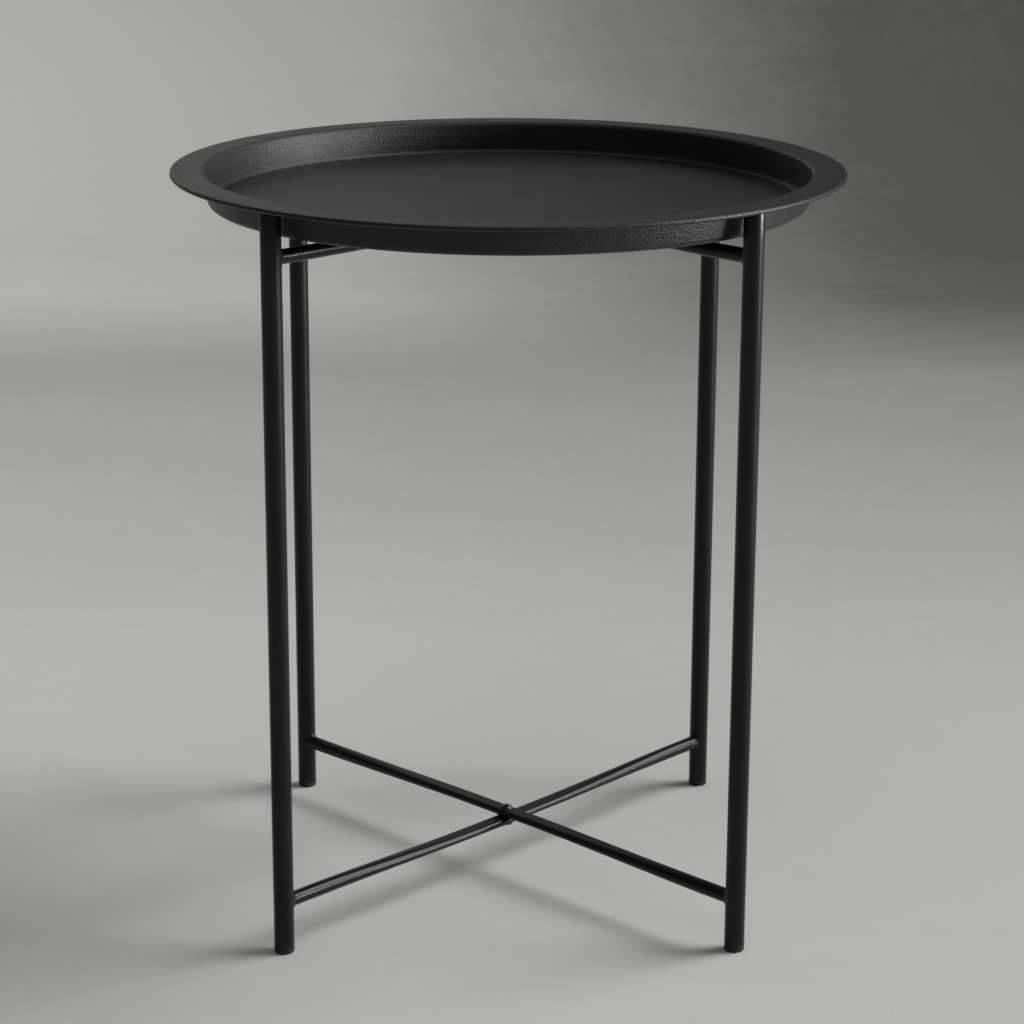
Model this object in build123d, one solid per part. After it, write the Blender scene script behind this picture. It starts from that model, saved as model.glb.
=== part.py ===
from build123d import *
import math
import os

# ---------------------------------------------------------------------------
# Folding tray table: a round drawn-steel tray that lifts off a base made of
# two rectangular tube frames, which cross at 90 degrees and scissor about two
# vertical rivets, one at the lower crossing and one at the upper crossing.
#
# Frame of the model: millimetres, +Z up, origin on the floor at the centre of
# the table.  Front is -Y.  Frame A joins the front right leg to the back left
# leg, frame B joins the front left leg to the back right leg.
# ---------------------------------------------------------------------------

os.makedirs("parts", exist_ok=True)

# ---- tray -----------------------------------------------------------------
TRAY_R = 235.0          # outer radius of the rolled rim
RIM_TOP = 523.0         # height of the flange's top face above the floor
SHEET = 0.8             # sheet thickness of the tray
TRAY_DEPTH = 23.6       # flange top to the underside of the tray's floor
WALL_TOP_R = 212.0      # outer radius of the wall where it meets the flange
WALL_BOT_R = 209.2      # outer radius of the wall at the floor (7 deg draft)
BEND_TOP_R = 3.0        # bend radius, flange to wall, on the upper face
BEND_BOT_R = 4.5        # bend radius, wall to floor, on the lower face
CURL_R = 1.6            # outer radius of the rolled rim
CURL_RETURN = 1.8       # length of the flat return under the rolled rim

# ---- frames ---------------------------------------------------------------
LEG_PITCH_R = 221.0     # leg axes lie on this circle
LEG_R = 7.0             # leg tube, 14 mm outside
LEG_WALL = 1.0
FRAME_A_DEG = -45.0     # direction of frame A's front right leg
FRAME_B_DEG = 45.0      # direction of frame B's back right leg
BAR_R = 5.0             # crossbar tube, 10 mm outside
BAR_WALL = 1.0
LOWER_PIVOT_Z = 37.4    # mid-plane of the lower crossing
UPPER_PIVOT_Z = 488.6   # mid-plane of the upper crossing
BAR_OFFSET = 0.6        # bar axis above (A) or below (B) the mid-plane

# ---- pressed centre of each crossbar ---------------------------------------
PRESS_H = 5.3           # height of the pressed section
PRESS_W = 12.4          # width it spreads to
PRESS_HALF = 20.0       # half length of the fully pressed part
PRESS_END = 205.0       # where the tube is round again
PRESS_STEPS = 8         # sections along the blend between the two
PIVOT_GAP = 0.6         # between the two pressed faces, filled by the spacer
RUN_GAP = 0.05          # face clearance at the turning faces

# ---- pivot rivets -----------------------------------------------------------
RIVET_R = 2.5
RIVET_HOLE_B_R = 2.55   # running hole in frame B's bars
RIVET_HEAD_R = 4.5
RIVET_HEAD_H = 2.8
RIVET_TAIL_R = 3.8
RIVET_TAIL_H = 1.5
WASHER_R = 5.0
WASHER_T = 0.8
SPACER_R = 6.0

# ---- leg ends ---------------------------------------------------------------
GLIDE_H = 4.2           # visible collar of the foot glide
GLIDE_EDGE = 1.4
CAP_T = 1.6             # head of the cap on the leg's top
CAP_EDGE = 0.6
PLUG_LEN = 15.0
PLUG_CORE_R = 5.0
PLUG_BORE_R = 3.6
WELD_LEG = 1.5          # leg length of the weld bead between crossbar and leg

FLANGE_UNDER = RIM_TOP - SHEET
LEG_BOTTOM = GLIDE_H
LEG_TOP = FLANGE_UNDER - CAP_T


def at_polar(deg, r):
    a = math.radians(deg)
    return r * math.cos(a), r * math.sin(a)


def ring(r_out, r_in, z0, z1):
    """A plain hollow cylinder along Z."""
    h = z1 - z0
    body = Pos(0, 0, z0 + h / 2) * Cylinder(r_out, h)
    if r_in > 0:
        body -= Pos(0, 0, z0 + h / 2) * Cylinder(r_in, h + 2)
    return body


# ---------------------------------------------------------------------------
# tray: one revolved sheet, with a flat flange, a rolled rim and a drawn wall
# ---------------------------------------------------------------------------
def make_tray():
    zb = RIM_TOP - TRAY_DEPTH
    zf = zb + SHEET
    slope = (WALL_TOP_R - WALL_BOT_R) / (FLANGE_UNDER - zb)
    side = SHEET * math.sqrt(1 + slope * slope)
    in_top = WALL_TOP_R + slope * SHEET - side
    in_bot = WALL_BOT_R + slope * SHEET - side
    cr, cz = TRAY_R - CURL_R, RIM_TOP - CURL_R
    ci = CURL_R - SHEET
    with BuildSketch(Plane.XZ) as sk:
        with BuildLine():
            Polyline((0, zb), (WALL_BOT_R, zb), (WALL_TOP_R, FLANGE_UNDER), (cr, FLANGE_UNDER))
            ThreePointArc((cr, FLANGE_UNDER), (cr + ci, cz), (cr, cz - ci))
            Polyline((cr, cz - ci), (cr - CURL_RETURN, cz - ci), (cr - CURL_RETURN, cz - CURL_R), (cr, cz - CURL_R))
            ThreePointArc((cr, cz - CURL_R), (TRAY_R, cz), (cr, RIM_TOP))
            Polyline((cr, RIM_TOP), (in_top, RIM_TOP), (in_bot, zf), (0, zf), (0, zb))
        make_face()

    def corner(face, x, z, radius):
        # Plane.XZ keeps x, and the sketch's y is the model's z
        near = sorted(face.vertices(), key=lambda v: (v.X - x) ** 2 + (v.Z - z) ** 2)[0]
        return near, radius

    face = sk.sketch.face()
    for x, z, radius in (
        (WALL_BOT_R, zb, BEND_BOT_R),
        (in_bot, zf, BEND_BOT_R - SHEET),
        (WALL_TOP_R, FLANGE_UNDER, BEND_TOP_R - SHEET),
        (in_top, RIM_TOP, BEND_TOP_R),
    ):
        v, rad = corner(face, x, z, radius)
        face = face.fillet_2d(rad, [v])
    return revolve(face, axis=Axis.Z, revolution_arc=360)


# ---------------------------------------------------------------------------
# crossbar: a round tube pressed flat in the middle, built along X
# ---------------------------------------------------------------------------
def blend_section(side, u, r, w, h, zr, zp):
    """Face across the bar at a fraction u from where it is round (0) to where
    it is fully pressed (1).

    Both ends are cut into the same four edges: top, side, bottom and side. In
    the round tube all four are arcs; pressed, the top and bottom are flat.
    """
    x = side * (PRESS_END + (PRESS_HALF - PRESS_END) * u)
    t = u * u * (3 - 2 * u)
    k = 0.66                                    # half angle of the round tube's top edge
    tx, tz = r * math.sin(k), r * math.cos(k)
    f = (w - h) / 2

    def mix(round_yz, pressed_yz):
        y = round_yz[0] + (pressed_yz[0] - round_yz[0]) * t
        z = zr + round_yz[1] + (zp + pressed_yz[1] - zr - round_yz[1]) * t
        return Vector(x, y, z)

    a, b = mix((-tx, tz), (-f, h / 2)), mix((tx, tz), (f, h / 2))
    c, d = mix((tx, -tz), (f, -h / 2)), mix((-tx, -tz), (-f, -h / 2))
    top, low = mix((0, r), (0, h / 2)), mix((0, -r), (0, -h / 2))
    right, left = mix((r, 0), (w / 2, 0)), mix((-r, 0), (-w / 2, 0))

    def side_of(p, m, q):
        straight = abs((m - (p + q) * 0.5).length) < 1e-6
        return Edge.make_line(p, q) if straight else Edge.make_three_point_arc(p, m, q)

    return Face(Wire([side_of(a, top, b), side_of(b, right, c), side_of(c, low, d), side_of(d, left, a)]))


def bar_body(up, inset):
    """Outer (inset 0) or inner (inset = wall) solid of a crossbar along X.

    up is +1 for the bar that passes over the pivot's mid-plane, -1 for the
    one that passes under it.
    """
    r = BAR_R - inset
    zr = up * BAR_OFFSET
    h = PRESS_H - 2 * inset
    w = PRESS_W - 2 * inset
    zp = up * (PIVOT_GAP / 2 + PRESS_H / 2)
    reach = LEG_PITCH_R
    body = None
    for s in (-1, 1):
        tube = Rot(0, 90, 0) * Cylinder(r, reach - PRESS_END)
        tube = Pos(s * (reach + PRESS_END) / 2, 0, zr) * tube
        steps = [blend_section(s, i / PRESS_STEPS, r, w, h, zr, zp) for i in range(PRESS_STEPS + 1)]
        piece = tube + loft(steps, ruled=True)
        body = piece if body is None else body + piece
    mid = extrude(blend_section(-1, 1, r, w, h, zr, zp), amount=2 * PRESS_HALF, dir=(1, 0, 0))
    return body + mid


def make_crossbar(up, deg, z):
    bar = bar_body(up, 0.0) - bar_body(up, BAR_WALL)
    for s in (-1, 1):
        bar -= Pos(s * LEG_PITCH_R, 0, 0) * Cylinder(LEG_R, 40)
    hole = RIVET_R if up > 0 else RIVET_HOLE_B_R
    bar -= Pos(0, 0, 0) * Cylinder(hole, 30)
    return Pos(0, 0, z) * (Rot(0, 0, deg) * bar)


def make_welds(up, deg, z):
    """The two fillet welds at a crossbar's ends, as two separate solids."""
    out = []
    for s in (-1, 1):
        leg = Pos(s * LEG_PITCH_R, 0, 0) * Cylinder(LEG_R, 30)
        stub = Rot(0, 90, 0) * Cylinder(BAR_R, 20)
        stub = Pos(s * (LEG_PITCH_R - 10), 0, up * BAR_OFFSET) * stub
        joined = leg + stub
        seam = [
            e for e in joined.edges()
            if e.geom_type not in (GeomType.CIRCLE, GeomType.LINE)
        ]
        bead = joined.chamfer(WELD_LEG, None, seam) - leg - stub
        for piece in bead.solids():
            if piece.volume > 0.5:
                out.append(Pos(0, 0, z) * (Rot(0, 0, deg) * piece))
    return Compound(children=out)


# ---------------------------------------------------------------------------
# legs and their moulded ends
# ---------------------------------------------------------------------------
def make_leg(deg):
    x, y = at_polar(deg, LEG_PITCH_R)
    return Pos(x, y, 0) * ring(LEG_R, LEG_R - LEG_WALL, LEG_BOTTOM, LEG_TOP)


def plug(head_h, edge):
    """Moulded end plug: head from z = -head_h to 0, ribbed hollow stem above."""
    r_in = LEG_R - LEG_WALL
    pts = [(0, -head_h), (LEG_R, -head_h), (LEG_R, 0), (PLUG_CORE_R, 0)]
    rib, pitch = 1.2, 4.0
    z = 1.6
    while z + rib + 1.0 < PLUG_LEN:
        pts += [(PLUG_CORE_R, z), (r_in, z), (r_in, z + rib * 0.5), (PLUG_CORE_R, z + rib + 0.6)]
        z += pitch
    pts += [(PLUG_CORE_R, PLUG_LEN), (PLUG_BORE_R, PLUG_LEN), (PLUG_BORE_R, 0.8), (0, 0.8)]
    with BuildSketch(Plane.XZ) as sk:
        with BuildLine():
            Polyline(*pts, close=True)
        make_face()
    face = sk.sketch.face()
    v = sorted(face.vertices(), key=lambda q: (q.X - LEG_R) ** 2 + (q.Z + head_h) ** 2)[0]
    face = face.fillet_2d(edge, [v])
    return revolve(face, axis=Axis.Z, revolution_arc=360)


def make_glide(deg):
    x, y = at_polar(deg, LEG_PITCH_R)
    return Pos(x, y, LEG_BOTTOM) * plug(GLIDE_H, GLIDE_EDGE)


def make_cap(deg):
    x, y = at_polar(deg, LEG_PITCH_R)
    return Pos(x, y, LEG_TOP) * (Rot(180, 0, 0) * plug(CAP_T, CAP_EDGE))


# ---------------------------------------------------------------------------
# pivot: domed rivet, spacer between the bars, backing washer under the tail
# ---------------------------------------------------------------------------
def cap_arc(r, z_edge, z_crown):
    """Arc of a spherical cap from the axis at z_crown to radius r at z_edge."""
    c = z_crown - z_edge
    big = (r * r + c * c) / (2 * abs(c))
    s = 1 if c > 0 else -1
    half = math.asin(r / big) / 2
    mid = (big * math.sin(half), z_crown - s * big * (1 - math.cos(half)))
    return ThreePointArc((0, z_crown), mid, (r, z_edge))


def make_rivet(z):
    top = PIVOT_GAP / 2 + PRESS_H
    under = -(PIVOT_GAP / 2 + PRESS_H) - RUN_GAP - WASHER_T
    hr, hh = RIVET_HEAD_R, RIVET_HEAD_H
    tr, th = RIVET_TAIL_R, RIVET_TAIL_H
    with BuildSketch(Plane.XZ) as sk:
        with BuildLine():
            cap_arc(hr, top + 0.5, top + hh)
            Polyline((hr, top + 0.5), (hr, top), (RIVET_R, top), (RIVET_R, under), (tr, under), (tr, under - 0.3))
            cap_arc(tr, under - 0.3, under - th)
            Line((0, under - th), (0, top + hh))
        make_face()
    body = revolve(sk.sketch.face(), axis=Axis.Z, revolution_arc=360)
    return Pos(0, 0, z) * body


def make_spacer(z):
    return Pos(0, 0, z) * ring(SPACER_R, RIVET_R, -PIVOT_GAP / 2 + RUN_GAP, PIVOT_GAP / 2)


def make_washer(z):
    top = -(PIVOT_GAP / 2 + PRESS_H) - RUN_GAP
    w = ring(WASHER_R, RIVET_R, top - WASHER_T, top)
    w = fillet(w.edges().filter_by(GeomType.CIRCLE).sort_by(SortBy.RADIUS)[-2:], 0.25)
    return Pos(0, 0, z) * w


LEGS = {
    "front_right": FRAME_A_DEG,
    "back_left": FRAME_A_DEG + 180.0,
    "back_right": FRAME_B_DEG,
    "front_left": FRAME_B_DEG + 180.0,
}

nodes = {"tray_pan": make_tray()}
for name, deg in LEGS.items():
    nodes["leg_" + name] = make_leg(deg)
    nodes["foot_glide_" + name] = make_glide(deg)
    nodes["leg_cap_" + name] = make_cap(deg)
for level, z in (("lower", LOWER_PIVOT_Z), ("upper", UPPER_PIVOT_Z)):
    nodes[level + "_crossbar_a"] = make_crossbar(+1, FRAME_A_DEG, z)
    nodes[level + "_crossbar_b"] = make_crossbar(-1, FRAME_B_DEG, z)
    nodes[level + "_welds_a"] = make_welds(+1, FRAME_A_DEG, z)
    nodes[level + "_welds_b"] = make_welds(-1, FRAME_B_DEG, z)
    nodes[level + "_pivot_rivet"] = make_rivet(z)
    nodes[level + "_pivot_spacer"] = make_spacer(z)
    nodes[level + "_pivot_washer"] = make_washer(z)

for name, shape in nodes.items():
    export_step(shape, "parts/" + name + ".step")
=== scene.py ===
import math

import bmesh
import bpy
from mathutils import Matrix, Vector, noise


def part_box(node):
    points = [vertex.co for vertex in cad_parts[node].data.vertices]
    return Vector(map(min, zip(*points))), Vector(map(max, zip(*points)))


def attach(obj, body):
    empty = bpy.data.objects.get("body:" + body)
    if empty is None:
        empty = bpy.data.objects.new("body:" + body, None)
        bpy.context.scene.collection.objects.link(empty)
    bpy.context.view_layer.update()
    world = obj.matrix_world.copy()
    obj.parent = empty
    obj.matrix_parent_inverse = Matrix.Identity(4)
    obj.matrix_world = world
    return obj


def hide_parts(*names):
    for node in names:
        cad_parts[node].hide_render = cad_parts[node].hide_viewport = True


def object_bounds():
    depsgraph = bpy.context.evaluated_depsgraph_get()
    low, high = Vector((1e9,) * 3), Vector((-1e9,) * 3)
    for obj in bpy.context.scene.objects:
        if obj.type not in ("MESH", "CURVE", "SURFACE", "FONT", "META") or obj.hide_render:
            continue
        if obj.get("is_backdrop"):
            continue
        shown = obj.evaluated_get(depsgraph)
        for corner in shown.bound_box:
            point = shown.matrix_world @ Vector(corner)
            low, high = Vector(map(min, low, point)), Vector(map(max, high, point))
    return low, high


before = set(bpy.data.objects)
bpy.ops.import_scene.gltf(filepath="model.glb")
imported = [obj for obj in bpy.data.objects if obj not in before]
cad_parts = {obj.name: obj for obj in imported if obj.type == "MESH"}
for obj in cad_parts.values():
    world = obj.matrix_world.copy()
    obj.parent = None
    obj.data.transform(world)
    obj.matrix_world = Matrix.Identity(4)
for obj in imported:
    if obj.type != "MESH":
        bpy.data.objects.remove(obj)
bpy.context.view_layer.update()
MM = 0.001


# ---------------------------------------------------------------------------
# where the CAD nodes are, in millimetres
# ---------------------------------------------------------------------------
def node_box(name):
    lo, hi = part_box(name)
    return lo / MM, hi / MM


def node_centre(name):
    lo, hi = node_box(name)
    return (lo + hi) / 2


LEGS = ("front_right", "back_left", "back_right", "front_left")
BODY_OF = {"front_right": "frame_a", "back_left": "frame_a", "back_right": "frame_b", "front_left": "frame_b"}
leg_at = {n: node_centre("leg_" + n) for n in LEGS}
LEG_R = (node_box("leg_front_left")[1].x - node_box("leg_front_left")[0].x) / 2
LEG_LOW, LEG_TOP = node_box("leg_front_left")[0].z, node_box("leg_front_left")[1].z
LEG_PITCH = Vector((leg_at["front_left"].x, leg_at["front_left"].y)).length
TRAY_LOW, TRAY_TOP = node_box("tray_pan")[0].z, node_box("tray_pan")[1].z
TRAY_R = node_box("tray_pan")[1].x
BAR_R, BAR_OFFSET = 5.0, 0.6
PRESS_H, PRESS_W, PRESS_HALF, PRESS_END, PIVOT_GAP = 5.3, 12.4, 20.0, 205.0, 0.6
PIVOT_Z = {}
for level in ("lower", "upper"):
    # frame A's bar spans from its round part's underside to its crown
    PIVOT_Z[level] = node_box(level + "_crossbar_a")[1].z - BAR_R - BAR_OFFSET


# ---------------------------------------------------------------------------
# mesh helpers; every point is given in millimetres
# ---------------------------------------------------------------------------
def new_object(name, verts, faces, sharp=34.0):
    me = bpy.data.meshes.new(name)
    me.from_pydata([Vector(v) * MM for v in verts], [], faces)
    bm = bmesh.new()
    bm.from_mesh(me)
    bmesh.ops.remove_doubles(bm, verts=bm.verts, dist=1e-7)
    bmesh.ops.recalc_face_normals(bm, faces=bm.faces)
    bm.to_mesh(me)
    bm.free()
    me.polygons.foreach_set("use_smooth", [True] * len(me.polygons))
    me.set_sharp_from_angle(angle=math.radians(sharp))
    me.update()
    ob = bpy.data.objects.new(name, me)
    bpy.context.scene.collection.objects.link(ob)
    return ob


def rounded(points, seg_deg=12.0):
    """Closed outline from (x, z, radius) corners, each rounded by its radius."""
    out, n = [], len(points)
    for i, (x, z, r) in enumerate(points):
        p = Vector((x, z))
        if r <= 0:
            out.append((x, z))
            continue
        a = (Vector(points[i - 1][:2]) - p).normalized()
        b = (Vector(points[(i + 1) % n][:2]) - p).normalized()
        half = a.angle(b) / 2
        t = r / math.tan(half)
        centre = p + (a + b).normalized() * (r / math.sin(half))
        s, e = p + a * t - centre, p + b * t - centre
        turn = math.atan2(s.x * e.y - s.y * e.x, s.dot(e))
        k = max(2, int(math.ceil(abs(math.degrees(turn)) / seg_deg)))
        for j in range(k + 1):
            w = turn * j / k
            c, q = math.cos(w), math.sin(w)
            v = centre + Vector((s.x * c - s.y * q, s.x * q + s.y * c))
            out.append((v.x, v.y))
    return out


def split_long(points, longest, closed=True):
    """Adds points so that no side of the outline is longer than longest."""
    out, n = [], len(points)
    for i in range(n if closed else n - 1):
        a, b = Vector(points[i]), Vector(points[(i + 1) % n])
        k = max(1, int(math.ceil((b - a).length / longest)))
        for j in range(k):
            v = a.lerp(b, j / k)
            out.append((v.x, v.y))
    if not closed:
        out.append(points[-1])
    return out


def revolve(name, outline, segments, at=(0, 0, 0), sharp=34.0, flip=False, closed=True):
    """Turns an (r, z) outline about Z. Points on the axis close into a fan."""
    verts, rings = [], []
    for r, z in outline:
        z = -z if flip else z
        if abs(r) < 1e-6:
            rings.append([len(verts)])
            verts.append((at[0], at[1], at[2] + z))
        else:
            rings.append(list(range(len(verts), len(verts) + segments)))
            for k in range(segments):
                a = 2 * math.pi * k / segments
                verts.append((at[0] + r * math.cos(a), at[1] + r * math.sin(a), at[2] + z))
    faces = []
    n = len(rings)
    for i in range(n if closed else n - 1):
        p, q = rings[i], rings[(i + 1) % n]
        if len(p) == 1 and len(q) == 1:
            continue
        for k in range(segments):
            m = (k + 1) % segments
            if len(p) == 1:
                faces.append((p[0], q[k], q[m]))
            elif len(q) == 1:
                faces.append((p[k], p[m], q[0]))
            else:
                faces.append((p[k], p[m], q[m], q[k]))
    return new_object(name, verts, faces, sharp)


def ride(ob, body, material, slot, *stands_for):
    ob.data.materials.clear()
    ob.data.materials.append(material)
    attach(ob, body)
    if stands_for:
        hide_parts(*stands_for)
    return ob


# ---------------------------------------------------------------------------
# materials
# ---------------------------------------------------------------------------
class Nodes:
    """A thin wrapper that keeps a node tree readable."""

    def __init__(self, name):
        self.mat = bpy.data.materials.new(name)
        self.mat.use_nodes = True
        self.tree = self.mat.node_tree
        self.tree.nodes.clear()
        self.out = self.add("ShaderNodeOutputMaterial")
        self.bsdf = self.add("ShaderNodeBsdfPrincipled")
        self.link(self.bsdf.outputs[0], self.out.inputs[0])
        self.place = self.add("ShaderNodeTexCoord").outputs["Object"]

    def add(self, kind, **values):
        n = self.tree.nodes.new(kind)
        for k, v in values.items():
            setattr(n, k, v)
        return n

    def link(self, a, b):
        self.tree.links.new(a, b)

    def scaled(self, sx, sy=None, sz=None):
        m = self.add("ShaderNodeMapping")
        m.inputs["Scale"].default_value = (sx, sy or sx, sz or sx)
        self.link(self.place, m.inputs["Vector"])
        return m.outputs[0]

    def noise(self, scale, detail=2.0, rough=0.5, vector=None, distortion=0.0):
        n = self.add("ShaderNodeTexNoise")
        n.inputs["Scale"].default_value = scale
        n.inputs["Detail"].default_value = detail
        n.inputs["Roughness"].default_value = rough
        n.inputs["Distortion"].default_value = distortion
        self.link(vector or self.place, n.inputs["Vector"])
        return n.outputs[0]

    def cells(self, scale, feature="F1", smooth=0.0, vector=None, randomness=1.0):
        n = self.add("ShaderNodeTexVoronoi")
        n.feature = feature
        n.inputs["Scale"].default_value = scale
        n.inputs["Randomness"].default_value = randomness
        if feature == "SMOOTH_F1":
            n.inputs["Smoothness"].default_value = smooth
        self.link(vector or self.place, n.inputs["Vector"])
        return n.outputs["Distance"]

    def map(self, value, a, b, c, d, clamp=True):
        n = self.add("ShaderNodeMapRange")
        n.clamp = clamp
        self.link(value, n.inputs[0])
        for i, v in enumerate((a, b, c, d)):
            n.inputs[i + 1].default_value = v
        return n.outputs[0]

    def maths(self, op, a, b=None, clamp=False):
        n = self.add("ShaderNodeMath", operation=op, use_clamp=clamp)
        for i, v in enumerate((a, b)):
            if v is None:
                continue
            if isinstance(v, (int, float)):
                n.inputs[i].default_value = v
            else:
                self.link(v, n.inputs[i])
        return n.outputs[0]

    def colours(self, value, a, b):
        n = self.add("ShaderNodeMix", data_type="RGBA")
        n.inputs["A"].default_value = (*a, 1)
        n.inputs["B"].default_value = (*b, 1)
        self.link(value, n.inputs["Factor"])
        return n.outputs["Result"]

    def mix_in(self, value, colour, b):
        n = self.add("ShaderNodeMix", data_type="RGBA")
        self.link(colour, n.inputs["A"])
        n.inputs["B"].default_value = (*b, 1)
        self.link(value, n.inputs["Factor"])
        return n.outputs["Result"]

    def bump(self, height, distance, strength=1.0, normal=None):
        n = self.add("ShaderNodeBump")
        n.inputs["Strength"].default_value = strength
        n.inputs["Distance"].default_value = distance
        self.link(height, n.inputs["Height"])
        if normal is not None:
            self.link(normal, n.inputs["Normal"])
        return n.outputs[0]

    def edge_wear_and_highlight(self, low=0.53, high=0.60):
        """0 on open surface, towards 1 on convex edges, broken up by noise: a mask for edge wear and for painted edge
        highlight.
        """
        g = self.add("ShaderNodeNewGeometry")
        edge = self.map(g.outputs["Pointiness"], low, high, 0.0, 1.0)
        return self.maths("MULTIPLY", edge, self.map(self.noise(900, 3, 0.6), 0.42, 0.62, 0.0, 1.0))


def powder_coat(name, dark, light, rough, grain_mm, grain_depth, peel_mm, peel_depth, specular=0.5, dust=0.0):
    """Powder-coated steel: fine grain over a slower orange peel."""
    m = Nodes(name)
    grain = m.noise(1.0 / (grain_mm * MM), 3.0, 0.55)
    pits = m.cells(1.0 / (grain_mm * 1.25 * MM), "SMOOTH_F1", 0.35)
    peel = m.noise(1.0 / (peel_mm * MM), 1.5, 0.4)
    cloud = m.noise(14.0, 3.0, 0.55)
    colour = m.colours(m.map(cloud, 0.35, 0.65, 0.0, 1.0), dark, light)
    tint = m.map(grain, 0.35, 0.68, 0.0, 0.30)
    colour = m.mix_in(tint, colour, tuple(min(1.0, c * 1.6 + 0.002) for c in light))
    # painted highlight: convex edges of the coat are made lighter in colour to stand for the edge highlight, not for
    # wear
    colour = m.mix_in(m.maths("MULTIPLY", m.edge_wear_and_highlight(), 0.35), colour, (0.085, 0.084, 0.082))
    if dust:
        specks = m.map(m.noise(2600.0, 2.0, 0.5), 0.70, 0.74, 0.0, dust)
        colour = m.mix_in(specks, colour, (0.16, 0.155, 0.15))
    m.link(colour, m.bsdf.inputs["Base Color"])
    r = m.maths("ADD", m.map(cloud, 0.3, 0.7, rough - 0.035, rough + 0.035), m.map(grain, 0.3, 0.7, -0.05, 0.07, False))
    m.link(r, m.bsdf.inputs["Roughness"])
    m.bsdf.inputs["Specular IOR Level"].default_value = specular
    slow = m.bump(peel, peel_depth * MM)
    fine = m.maths("ADD", grain, m.maths("MULTIPLY", pits, 0.6))
    m.link(m.bump(fine, grain_depth * MM, normal=slow), m.bsdf.inputs["Normal"])
    return m.mat


def moulded_plastic(name, dark, light, rough):
    """Black moulded plastic: fine spark-eroded grain, scuffed on its edges."""
    m = Nodes(name)
    grain = m.noise(3200.0, 2.0, 0.6)
    cloud = m.noise(120.0, 3.0, 0.5)
    colour = m.colours(m.map(cloud, 0.35, 0.65, 0.0, 1.0), dark, light)
    colour = m.mix_in(m.maths("MULTIPLY", m.edge_wear_and_highlight(0.52, 0.58), 0.5), colour, (0.10, 0.098, 0.095))
    m.link(colour, m.bsdf.inputs["Base Color"])
    m.link(m.maths("ADD", m.map(cloud, 0.3, 0.7, rough - 0.05, rough + 0.05), m.map(grain, 0.3, 0.7, -0.04, 0.05, False)), m.bsdf.inputs["Roughness"])
    m.bsdf.inputs["Specular IOR Level"].default_value = 0.45
    m.link(m.bump(grain, 0.03 * MM), m.bsdf.inputs["Normal"])
    return m.mat


def coated_hardware(name, dark, light, rough, bare=0.4):
    """Painted fastener: smooth coat with bare metal showing on its high edges."""
    m = Nodes(name)
    cloud = m.noise(260.0, 3.0, 0.5)
    grain = m.noise(2200.0, 2.0, 0.55)
    worn = m.maths("MULTIPLY", m.edge_wear_and_highlight(0.525, 0.60), bare)
    colour = m.colours(m.map(cloud, 0.35, 0.65, 0.0, 1.0), dark, light)
    colour = m.mix_in(worn, colour, (0.30, 0.29, 0.28))
    m.link(colour, m.bsdf.inputs["Base Color"])
    m.link(m.maths("MULTIPLY", worn, 0.9), m.bsdf.inputs["Metallic"])
    m.link(m.maths("ADD", m.map(cloud, 0.3, 0.7, rough - 0.04, rough + 0.05), m.map(grain, 0.3, 0.7, -0.03, 0.04, False)), m.bsdf.inputs["Roughness"])
    m.link(m.bump(m.maths("ADD", grain, cloud), 0.03 * MM), m.bsdf.inputs["Normal"])
    return m.mat


TRAY_COAT = powder_coat("tray_powder_coat_look", (0.0100, 0.0100, 0.0100), (0.0135, 0.0134, 0.0131), 0.40, 1.10, 0.34, 4.5, 0.10, 0.27)
FRAME_COAT = powder_coat("frame_powder_coat_look", (0.0034, 0.0034, 0.0034), (0.0052, 0.0051, 0.0050), 0.31, 0.60, 0.030, 5.0, 0.05, 0.25)
WELD_COAT = powder_coat("weld_powder_coat_look", (0.0034, 0.0034, 0.0034), (0.0052, 0.0051, 0.0050), 0.36, 0.50, 0.035, 2.0, 0.05, 0.25)
PLASTIC = moulded_plastic("black_plastic_look", (0.0060, 0.0060, 0.0060), (0.0090, 0.0090, 0.0090), 0.50)
RIVET_COAT = coated_hardware("rivet_black_look", (0.0060, 0.0060, 0.0060), (0.0085, 0.0085, 0.0085), 0.30, 0.35)
WASHER_COAT = coated_hardware("washer_steel_look", (0.014, 0.014, 0.014), (0.020, 0.020, 0.020), 0.38, 0.55)
NYLON = moulded_plastic("pivot_nylon_look", (0.013, 0.013, 0.013), (0.019, 0.019, 0.019), 0.42)


# ---------------------------------------------------------------------------
# tray: the drawn sheet, with its rolled rim
# ---------------------------------------------------------------------------
SHEET, CURL_R, CURL_RETURN = 0.8, 1.6, 1.8
WALL_TOP_R, WALL_BOT_R, BEND_TOP_R, BEND_BOT_R = 212.0, 209.2, 3.0, 4.5


def tray_outline():
    under = TRAY_TOP - SHEET
    zb, zf = TRAY_LOW, TRAY_LOW + SHEET
    slope = (WALL_TOP_R - WALL_BOT_R) / (under - zb)
    side = SHEET * math.sqrt(1 + slope * slope)
    in_top = WALL_TOP_R + slope * SHEET - side
    in_bot = WALL_BOT_R + slope * SHEET - side
    cr, cz, ci = TRAY_R - CURL_R, TRAY_TOP - CURL_R, CURL_R - SHEET
    corners = [
        (0, zb, 0),
        (WALL_BOT_R, zb, BEND_BOT_R),
        (WALL_TOP_R, under, BEND_TOP_R - SHEET),
        (cr, under, 0),
    ]
    out = rounded(corners, 9)[:-1]
    arc = [(cr + r * math.cos(a), cz + r * math.sin(a)) for r, a in ((ci, math.radians(90 - 12 * k)) for k in range(16))]
    out += arc
    out += [(cr - CURL_RETURN, cz - ci), (cr - CURL_RETURN, cz - CURL_R)]
    out += [(cr + CURL_R * math.cos(a), cz + CURL_R * math.sin(a)) for a in (math.radians(-90 + 9 * k) for k in range(21))]
    top = rounded([(cr, TRAY_TOP, 0), (in_top, TRAY_TOP, BEND_TOP_R), (in_bot, zf, BEND_BOT_R - SHEET), (0, zf, 0)], 9)
    out += top[1:]
    return out


outline = split_long(tray_outline(), 9.0)
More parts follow.
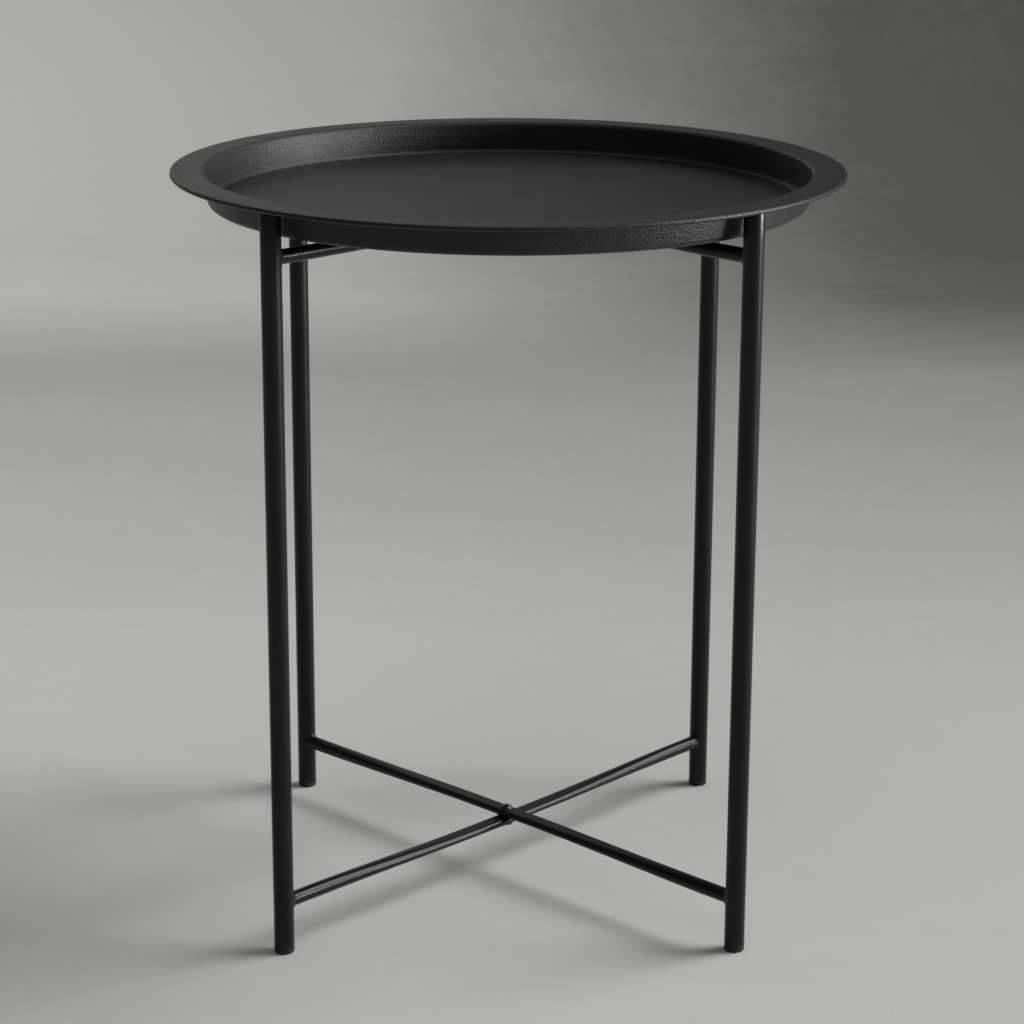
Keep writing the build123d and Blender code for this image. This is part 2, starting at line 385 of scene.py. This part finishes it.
# the last side, down the axis, only closes the outline
outline = [p for i, p in enumerate(outline) if not (p[0] < 1e-6 and TRAY_LOW + 1e-6 < p[1] < TRAY_LOW + SHEET - 1e-6)]
tray = revolve("tray_drawn_sheet", outline, 480, sharp=50)
# a drawn sheet is never quite flat: a slow, shallow unevenness, kept inside the sheet's own box
for v in tray.data.vertices:
    r = math.hypot(v.co.x, v.co.y) / MM
    if r < 205.0 and v.co.z / MM < TRAY_LOW + 3:
        fade = min(1.0, (205.0 - r) / 40.0)
        v.co.z += fade * 0.16 * MM * (0.5 + 0.5 * noise.noise(Vector((v.co.x * 9, v.co.y * 9, 3.7))))
tray.data.update()
ride(tray, "tray", TRAY_COAT, "tray_powder_coat", "tray_pan")


# ---------------------------------------------------------------------------
# legs: drawn tube with its cut ends broken
# ---------------------------------------------------------------------------
def make_leg(name):
    c = leg_at[name]
    ri = LEG_R - 1.0
    e = 0.22
    outline = rounded([
        (LEG_R, LEG_LOW, e), (LEG_R, LEG_TOP, e), (ri, LEG_TOP, e * 0.8), (ri, LEG_LOW, e * 0.8)
    ], 30)
    ob = revolve("tube_leg_" + name, split_long(outline, 24.0), 96, (c.x, c.y, 0), sharp=40)
    return ride(ob, BODY_OF[name], FRAME_COAT, "frame_powder_coat", "leg_" + name)


for name in LEGS:
    make_leg(name)


# ---------------------------------------------------------------------------
# leg ends: glide below, cap above, each a moulded head on a ribbed stem
# ---------------------------------------------------------------------------
def plug_outline(head_h, edge, recess):
    ri, core, bore, length = LEG_R - 1.0, 5.0, 3.6, 15.0
    pts = [(0, -head_h + recess, 0)]
    if recess:
        pts += [(2.6, -head_h + recess, 0.3), (3.0, -head_h, 0.25)]
    pts += [(LEG_R, -head_h, edge), (LEG_R, 0, 0.25), (core, 0, 0)]
    z = 1.6
    while z + 2.2 < length:
        pts += [(core, z, 0), (ri, z, 0.15), (ri, z + 0.6, 0.15), (core, z + 1.8, 0)]
        z += 4.0
    pts += [(core, length, 0.5), (bore, length, 0.3), (bore, 0.8, 0.4), (0, 0.8, 0)]
    return rounded(pts, 10)


for name in LEGS:
    c = leg_at[name]
    glide_h = LEG_LOW - node_box("foot_glide_" + name)[0].z
    ob = revolve("moulded_glide_" + name, plug_outline(glide_h, 1.4, 0.5), 96, (c.x, c.y, LEG_LOW), sharp=40)
    ride(ob, BODY_OF[name], PLASTIC, "black_plastic", "foot_glide_" + name)
    cap_h = node_box("leg_cap_" + name)[1].z - LEG_TOP
    ob = revolve("moulded_cap_" + name, plug_outline(cap_h, 0.6, 0.0), 96, (c.x, c.y, LEG_TOP), sharp=40, flip=True)
    ride(ob, BODY_OF[name], PLASTIC, "black_plastic", "leg_cap_" + name)


# ---------------------------------------------------------------------------
# crossbars: round tube, pressed flat through the crossing, coped to the legs
# ---------------------------------------------------------------------------
def smooth(t):
    t = max(0.0, min(1.0, t))
    return t * t * (3 - 2 * t)


AROUND = 72


def bar_ring(x, up, inset):
    """Points of the bar's section at x, as (y, z) pairs about the pivot's mid-plane."""
    r = BAR_R - inset
    h, w = PRESS_H - 2 * inset, PRESS_W - 2 * inset
    zr, zp = up * BAR_OFFSET, up * (PIVOT_GAP / 2 + PRESS_H / 2)
    t = smooth((PRESS_END - abs(x)) / (PRESS_END - PRESS_HALF))
    k, flat = 0.66, (w - h) / 2
    out = []
    per = AROUND // 4
    for quarter in range(4):
        for j in range(per):
            s = j / per
            if quarter in (0, 2):
                # the top, then the bottom: an arc that flattens to a straight run
                a = -k + 2 * k * s
                y, z = r * math.sin(a), r * math.cos(a)
                py, pz = -flat + 2 * flat * s, h / 2
            else:
                a = k + (math.pi - 2 * k) * s
                y, z = r * math.sin(a), r * math.cos(a)
                b = math.pi * s
                py, pz = flat + h / 2 * math.sin(b), h / 2 * math.cos(b)
            sign = 1 if quarter in (0, 1) else -1
            y, z, py, pz = y * sign, z * sign, py * sign, pz * sign
            out.append((y + (py - y) * t, zr + z + (zp + pz - zr - z) * t))
    return out


def bar_object(name, level, up, deg):
    # the first ring is coped to the leg, so the next one stands clear of it
    xs = [-LEG_PITCH, -210.5, -208.0]
    n = 48
    xs += [-PRESS_END + (PRESS_END - PRESS_HALF) * i / n for i in range(n + 1)]
    xs += [-PRESS_HALF * k for k in (0.7, 0.45, 0.22)]
    xs = xs + [0.0] + [-x for x in reversed(xs)]
    turn = Matrix.Rotation(math.radians(deg), 4, "Z")
    shift = Vector((0, 0, PIVOT_Z[level]))

    def skin(inset, past):
        verts, faces = [], []
        for i, x in enumerate(xs):
            for y, z in bar_ring(x, up, inset):
                px = x
                if i in (0, len(xs) - 1):
                    px = math.copysign(LEG_PITCH - math.sqrt(LEG_R * LEG_R - y * y) + past, x)
                verts.append((px, y, z))
        for i in range(len(xs) - 1):
            for k in range(AROUND):
                m = (k + 1) % AROUND
                faces.append((i * AROUND + k, i * AROUND + m, (i + 1) * AROUND + m, (i + 1) * AROUND + k))
        return verts, faces

    vo, fo = skin(0.0, 0.0)
    vi, fi = skin(1.0, 0.0)
    # one closed tube: the two skins joined by a ring at each end
    base = len(vo)
    verts = vo + vi
    faces = fo + [tuple(base + k for k in reversed(f)) for f in fi]
    last = (len(xs) - 1) * AROUND
    for k in range(AROUND):
        m = (k + 1) % AROUND
        faces.append((k, base + k, base + m, m))
        faces.append((last + m, base + last + m, base + last + k, last + k))
    verts = [turn @ Vector(v) + shift for v in verts]
    ob = new_object(name, verts, faces, sharp=40)
    # the rivet's hole
    hole = new_object("hole_cutter", *cylinder(2.5 if up > 0 else 2.55, PIVOT_Z[level] - 12, PIVOT_Z[level] + 12, 64))
    cut = ob.modifiers.new("hole", "BOOLEAN")
    cut.operation, cut.solver, cut.object = "DIFFERENCE", "EXACT", hole
    bpy.context.view_layer.update()
    done = bpy.data.meshes.new_from_object(ob.evaluated_get(bpy.context.evaluated_depsgraph_get()))
    ob.modifiers.clear()
    # the cut leaves a few points on top of each other
    bm = bmesh.new()
    bm.from_mesh(done)
    bmesh.ops.remove_doubles(bm, verts=bm.verts[:], dist=1e-6)
    bm.to_mesh(done)
    bm.free()
    old = ob.data
    ob.data = done
    bpy.data.meshes.remove(old)
    bpy.data.objects.remove(hole)
    ob.data.polygons.foreach_set("use_smooth", [True] * len(ob.data.polygons))
    ob.data.set_sharp_from_angle(angle=math.radians(40))
    return ob


def cylinder(r, z0, z1, n):
    verts = [(r * math.cos(2 * math.pi * k / n), r * math.sin(2 * math.pi * k / n), z) for z in (z0, z1) for k in range(n)]
    faces = [(k, (k + 1) % n, n + (k + 1) % n, n + k) for k in range(n)]
    faces += [tuple(reversed(range(n))), tuple(range(n, 2 * n))]
    return verts, faces


for level in ("lower", "upper"):
    for tag, up, deg in (("a", 1, -45.0), ("b", -1, 45.0)):
        node = f"{level}_crossbar_{tag}"
        ob = bar_object("pressed_tube_" + node, level, up, deg)
        ride(ob, "frame_" + tag, FRAME_COAT, "frame_powder_coat", node)


# ---------------------------------------------------------------------------
# weld beads: an overlapping-ripple fillet around each bar's end
# ---------------------------------------------------------------------------
def weld_mesh(level, up, deg, side, seed):
    n, ripples = 144, 19
    reach = 1.6
    turn = Matrix.Rotation(math.radians(deg + (180 if side < 0 else 0)), 4, "Z")
    shift = Vector((0, 0, PIVOT_Z[level] + up * BAR_OFFSET))
    verts, faces, m = [], [], 7
    for k in range(n):
        a = 2 * math.pi * k / n
        s, c = math.sin(a), math.cos(a)
        # each ripple is steep on its leading side, as a travelling bead freezes
        phase = (k / n * ripples) % 1.0
        lift = 0.16 * (phase ** 0.6) * (1 - phase) * 2.2
        wander = noise.noise(Vector((s * 1.7, c * 1.7, seed)))
        run = reach * (1 + 0.14 * wander + 0.10 * noise.noise(Vector((s * 5, c * 5, seed + 9))))
        rise = min(reach * (1 - 0.12 * wander), LEG_R - BAR_R - 0.12)

        def leg_x(q):
            return LEG_PITCH - math.sqrt(max(LEG_R * LEG_R - (q * s) ** 2, 0.0))

        toe_bar = Vector((leg_x(BAR_R) - run, BAR_R))
        toe_leg = Vector((leg_x(BAR_R + rise), BAR_R + rise))
        seam = Vector((leg_x(BAR_R), BAR_R))
        ring = []
        for j in range(m):
            t = j / (m - 1)
            p = toe_bar.lerp(toe_leg, t)
            # slightly hollow towards the seam, with the ripple raised in the middle
            bulge = 4 * t * (1 - t)
            away = (p - seam).normalized()
            ring.append(p + away * bulge * (lift - 0.10))
        # tucked just under the two skins, so that no gap shows
        ring.append(Vector((leg_x(BAR_R + rise) + 0.08, BAR_R + rise)))
        ring.append(seam + Vector((0.10, -0.10)))
        ring.append(Vector((toe_bar.x, BAR_R - 0.08)))
        for p in ring:
            verts.append(turn @ Vector((p.x, p.y * s, p.y * c)) + shift)
    w = m + 3
    for k in range(n):
        q = (k + 1) % n
        for j in range(w):
            i = (j + 1) % w
            faces.append((k * w + j, k * w + i, q * w + i, q * w + j))
    return verts, faces


for level in ("lower", "upper"):
    for tag, up, deg in (("a", 1, -45.0), ("b", -1, 45.0)):
        verts, faces = [], []
        for side in (1, -1):
            v, f = weld_mesh(level, up, deg, side, 3.1 * side + deg + PIVOT_Z[level])
            faces += [tuple(len(verts) + i for i in face) for face in f]
            verts += v
        ob = new_object(f"weld_beads_{level}_{tag}", verts, faces, sharp=75)
        ride(ob, "frame_" + tag, WELD_COAT, "weld_bead", f"{level}_welds_{tag}")


# ---------------------------------------------------------------------------
# pivots: domed rivet, spacer between the bars, backing washer
# ---------------------------------------------------------------------------
def cap_points(r, z_edge, z_crown, n, flat=0.0):
    c = abs(z_crown - z_edge)
    big = (r * r + c * c) / (2 * c)
    s = 1 if z_crown > z_edge else -1
    half = math.asin(r / big)
    out = []
    for i in range(n + 1):
        a = half * i / n
        out.append((big * math.sin(a), z_crown - s * big * (1 - math.cos(a))))
    return out


for level in ("lower", "upper"):
    z = PIVOT_Z[level]
    lo, hi = node_box(level + "_pivot_rivet")
    top = PIVOT_GAP / 2 + PRESS_H
    head = hi.z - z
    tail = lo.z - z
    under = node_box(level + "_pivot_washer")[0].z - z
    pts = cap_points(4.5, top + 0.5, head, 14)
    pts += [(4.5, top + 0.06), (4.42, top), (2.5, top), (2.5, under), (3.72, under), (3.8, under - 0.08)]
    pts += [(3.8, under - 0.3)] + list(reversed(cap_points(3.8, under - 0.3, tail, 10)))[1:]
    ob = revolve(level + "_domed_rivet", pts, 96, (0, 0, z), sharp=42)
    ride(ob, "frame_a", RIVET_COAT, "rivet_black", level + "_pivot_rivet")

    for node, slot, mat, ease in (("_pivot_spacer", "pivot_nylon", NYLON, 0.12), ("_pivot_washer", "washer_steel", WASHER_COAT, 0.22)):
        lo, hi = node_box(level + node)
        ro, ri = (hi.x - lo.x) / 2, 2.5
        pts = rounded([(ri, lo.z, 0.08), (ro, lo.z, ease), (ro, hi.z, ease), (ri, hi.z, 0.08)], 15)
        ob = revolve(level + node + "_ring", pts, 96, sharp=42)
        ride(ob, "frame_a", mat, slot, level + node)


# ---------------------------------------------------------------------------
# floor and backdrop: not part of the object
# ---------------------------------------------------------------------------
def stage_material(name, rough, bump):
    """Cloudy pale ground; painted shade makes it darker towards the back, and a painted shadow makes the far wall part
    darker to the right.
    """
    m = Nodes(name)
    broad = m.noise(1.6, 4.0, 0.55)
    streak = m.noise(1.0, 4.0, 0.6, m.scaled(3.0, 22.0, 22.0))
    fine = m.noise(38.0, 4.0, 0.6)
    mixed = m.maths("ADD", m.maths("MULTIPLY", broad, 0.5), m.maths("MULTIPLY", fine, 0.25))
    mixed = m.maths("ADD", mixed, m.maths("MULTIPLY", streak, 0.25))
    split = m.add("ShaderNodeSeparateXYZ")
    m.link(m.place, split.inputs[0])
    cloud = m.map(mixed, 0.36, 0.64, -0.12, 0.12)
    # painted shade: the floor's colour darkens towards the back
    far_floor_painted_shade = m.map(split.outputs["Y"], 0.5, 1.7, 0.0, 1.0)
    colour = m.colours(m.maths("ADD", far_floor_painted_shade, cloud, clamp=True), (0.575, 0.575, 0.562), (0.385, 0.385, 0.375))
    # painted shadow: the wall's colour darkens to the right, standing for the shadow on that side
    right = m.map(split.outputs["X"], -0.25, 0.55, 0.0, 1.0)
    wall = m.colours(m.maths("ADD", right, cloud, clamp=True), (0.56, 0.56, 0.545), (0.20, 0.20, 0.19))
    n = m.add("ShaderNodeMix", data_type="RGBA")
    m.link(colour, n.inputs["A"])
    m.link(wall, n.inputs["B"])
    m.link(m.map(split.outputs["Y"], 1.60, 2.05, 0.0, 1.0), n.inputs["Factor"])
    pits = m.map(m.noise(310.0, 2.0, 0.5), 0.69, 0.75, 0.0, 0.30)
    m.link(m.mix_in(pits, n.outputs["Result"], (0.20, 0.20, 0.195)), m.bsdf.inputs["Base Color"])
    m.bsdf.inputs["Roughness"].default_value = rough
    m.bsdf.inputs["Specular IOR Level"].default_value = 0.3
    m.link(m.bump(fine, bump * MM), m.bsdf.inputs["Normal"])
    return m.mat


def backdrop():
    """A pale floor that curves up into a plain wall well behind the table."""
    prof = [(-6.0, 0.0), (2.4, 0.0)]
    r = 0.5
    prof += [(2.4 + r * math.sin(a), r - r * math.cos(a)) for a in (math.radians(6 * k) for k in range(1, 16))]
    prof += [(2.9, 5.0)]
    verts, faces = [], []
    for x in (-7.0, 7.0):
        verts += [(x / MM, y / MM, z / MM) for y, z in prof]
    n = len(prof)
    faces = [(i, i + 1, n + i + 1, n + i) for i in range(n - 1)]
    return verts, faces


verts, faces = backdrop()
me = bpy.data.meshes.new("studio_floor")
me.from_pydata([Vector(v) * MM for v in verts], [], faces)
me.polygons.foreach_set("use_smooth", [True] * len(me.polygons))
floor = bpy.data.objects.new("studio_floor", me)
bpy.context.scene.collection.objects.link(floor)
floor.data.materials.append(stage_material("studio_floor_look", 0.7, 0.15))
floor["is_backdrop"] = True


# ---------------------------------------------------------------------------
# light: one large soft source from the right, a dim fill from the left
# ---------------------------------------------------------------------------
def area(name, at, aim, size, power, colour=(1, 1, 1)):
    data = bpy.data.lights.new(name, "AREA")
    data.shape, data.size, data.size_y = "RECTANGLE", size[0], size[1]
    data.energy, data.color = power, colour
    ob = bpy.data.objects.new(name, data)
    ob.location = at
    ob.rotation_mode = "QUATERNION"
    ob.rotation_quaternion = (Vector(aim) - Vector(at)).to_track_quat("-Z", "Y")
    ob.visible_camera = False
    bpy.context.scene.collection.objects.link(ob)
    return ob


TURN = -0.0265          # the room sits square to the camera, the table a little turned


def turned_at(x, y, z):
    return (x * math.cos(TURN) - y * math.sin(TURN), x * math.sin(TURN) + y * math.cos(TURN), z)


floor.rotation_euler = (0, 0, TURN)
data = bpy.data.lights.new("key_sky", "SUN")
data.energy, data.angle = 2.95, math.radians(33)
key = bpy.data.objects.new("key_sky", data)
key.location = turned_at(2.95, 0.98, 3.0)
key.rotation_mode = "QUATERNION"
key.rotation_quaternion = Vector(turned_at(-0.71, -0.23, -0.65)).to_track_quat("-Z", "Y")
bpy.context.scene.collection.objects.link(key)
area("overhead_soft", turned_at(0, -0.9, 3.3), turned_at(0, -0.9, 0), (3.0, 3.0), 20)
wall = area("wall_wash", turned_at(-2.2, 1.2, 2.6), turned_at(-0.9, 2.9, 1.2), (0.9, 0.9), 29)
wall.data.spread = math.radians(120)
low = area("low_side", turned_at(3.2, -0.35, 0.72), turned_at(0, 0, 0.53), (0.9, 0.36), 4.2)
low.data.spread = math.radians(26)
world = bpy.data.worlds.new("studio_world")
world.use_nodes = True
world.node_tree.nodes["Background"].inputs[0].default_value = (1.0, 0.995, 0.985, 1)
world.node_tree.nodes["Background"].inputs[1].default_value = 0.08
bpy.context.scene.world = world
bpy.context.scene.view_settings.view_transform = "Standard"
bpy.context.scene.view_settings.look = "None"

# ---------------------------------------------------------------------------
# camera
# ---------------------------------------------------------------------------
F_PX, PITCH, YAW, ROLL = 2829.0, 0.2816, 0.0198, 0.0043
CAM_AT = (-0.0354, -1.9613, 0.8395)
cam_data = bpy.data.cameras.new("camera")
cam_data.sensor_width = 36.0
cam_data.lens = F_PX * 36.0 / 1024.0
cam_data.clip_start, cam_data.clip_end = 0.05, 60.0
cam = bpy.data.objects.new("camera", cam_data)
bpy.context.scene.collection.objects.link(cam)
cy_, sy_ = math.cos(YAW), math.sin(YAW)
right = Vector((cy_, -sy_, 0))
ahead = Vector((sy_, cy_, 0)) * math.cos(PITCH) - Vector((0, 0, math.sin(PITCH)))
up = right.cross(ahead)
right, up = right * math.cos(ROLL) + up * math.sin(ROLL), up * math.cos(ROLL) - right * math.sin(ROLL)
turned = Matrix((right, up, -ahead)).transposed()
cam.rotation_mode = "QUATERNION"
cam.rotation_quaternion = turned.to_quaternion()
cam.location = CAM_AT
bpy.context.scene.camera = cam

low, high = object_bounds()
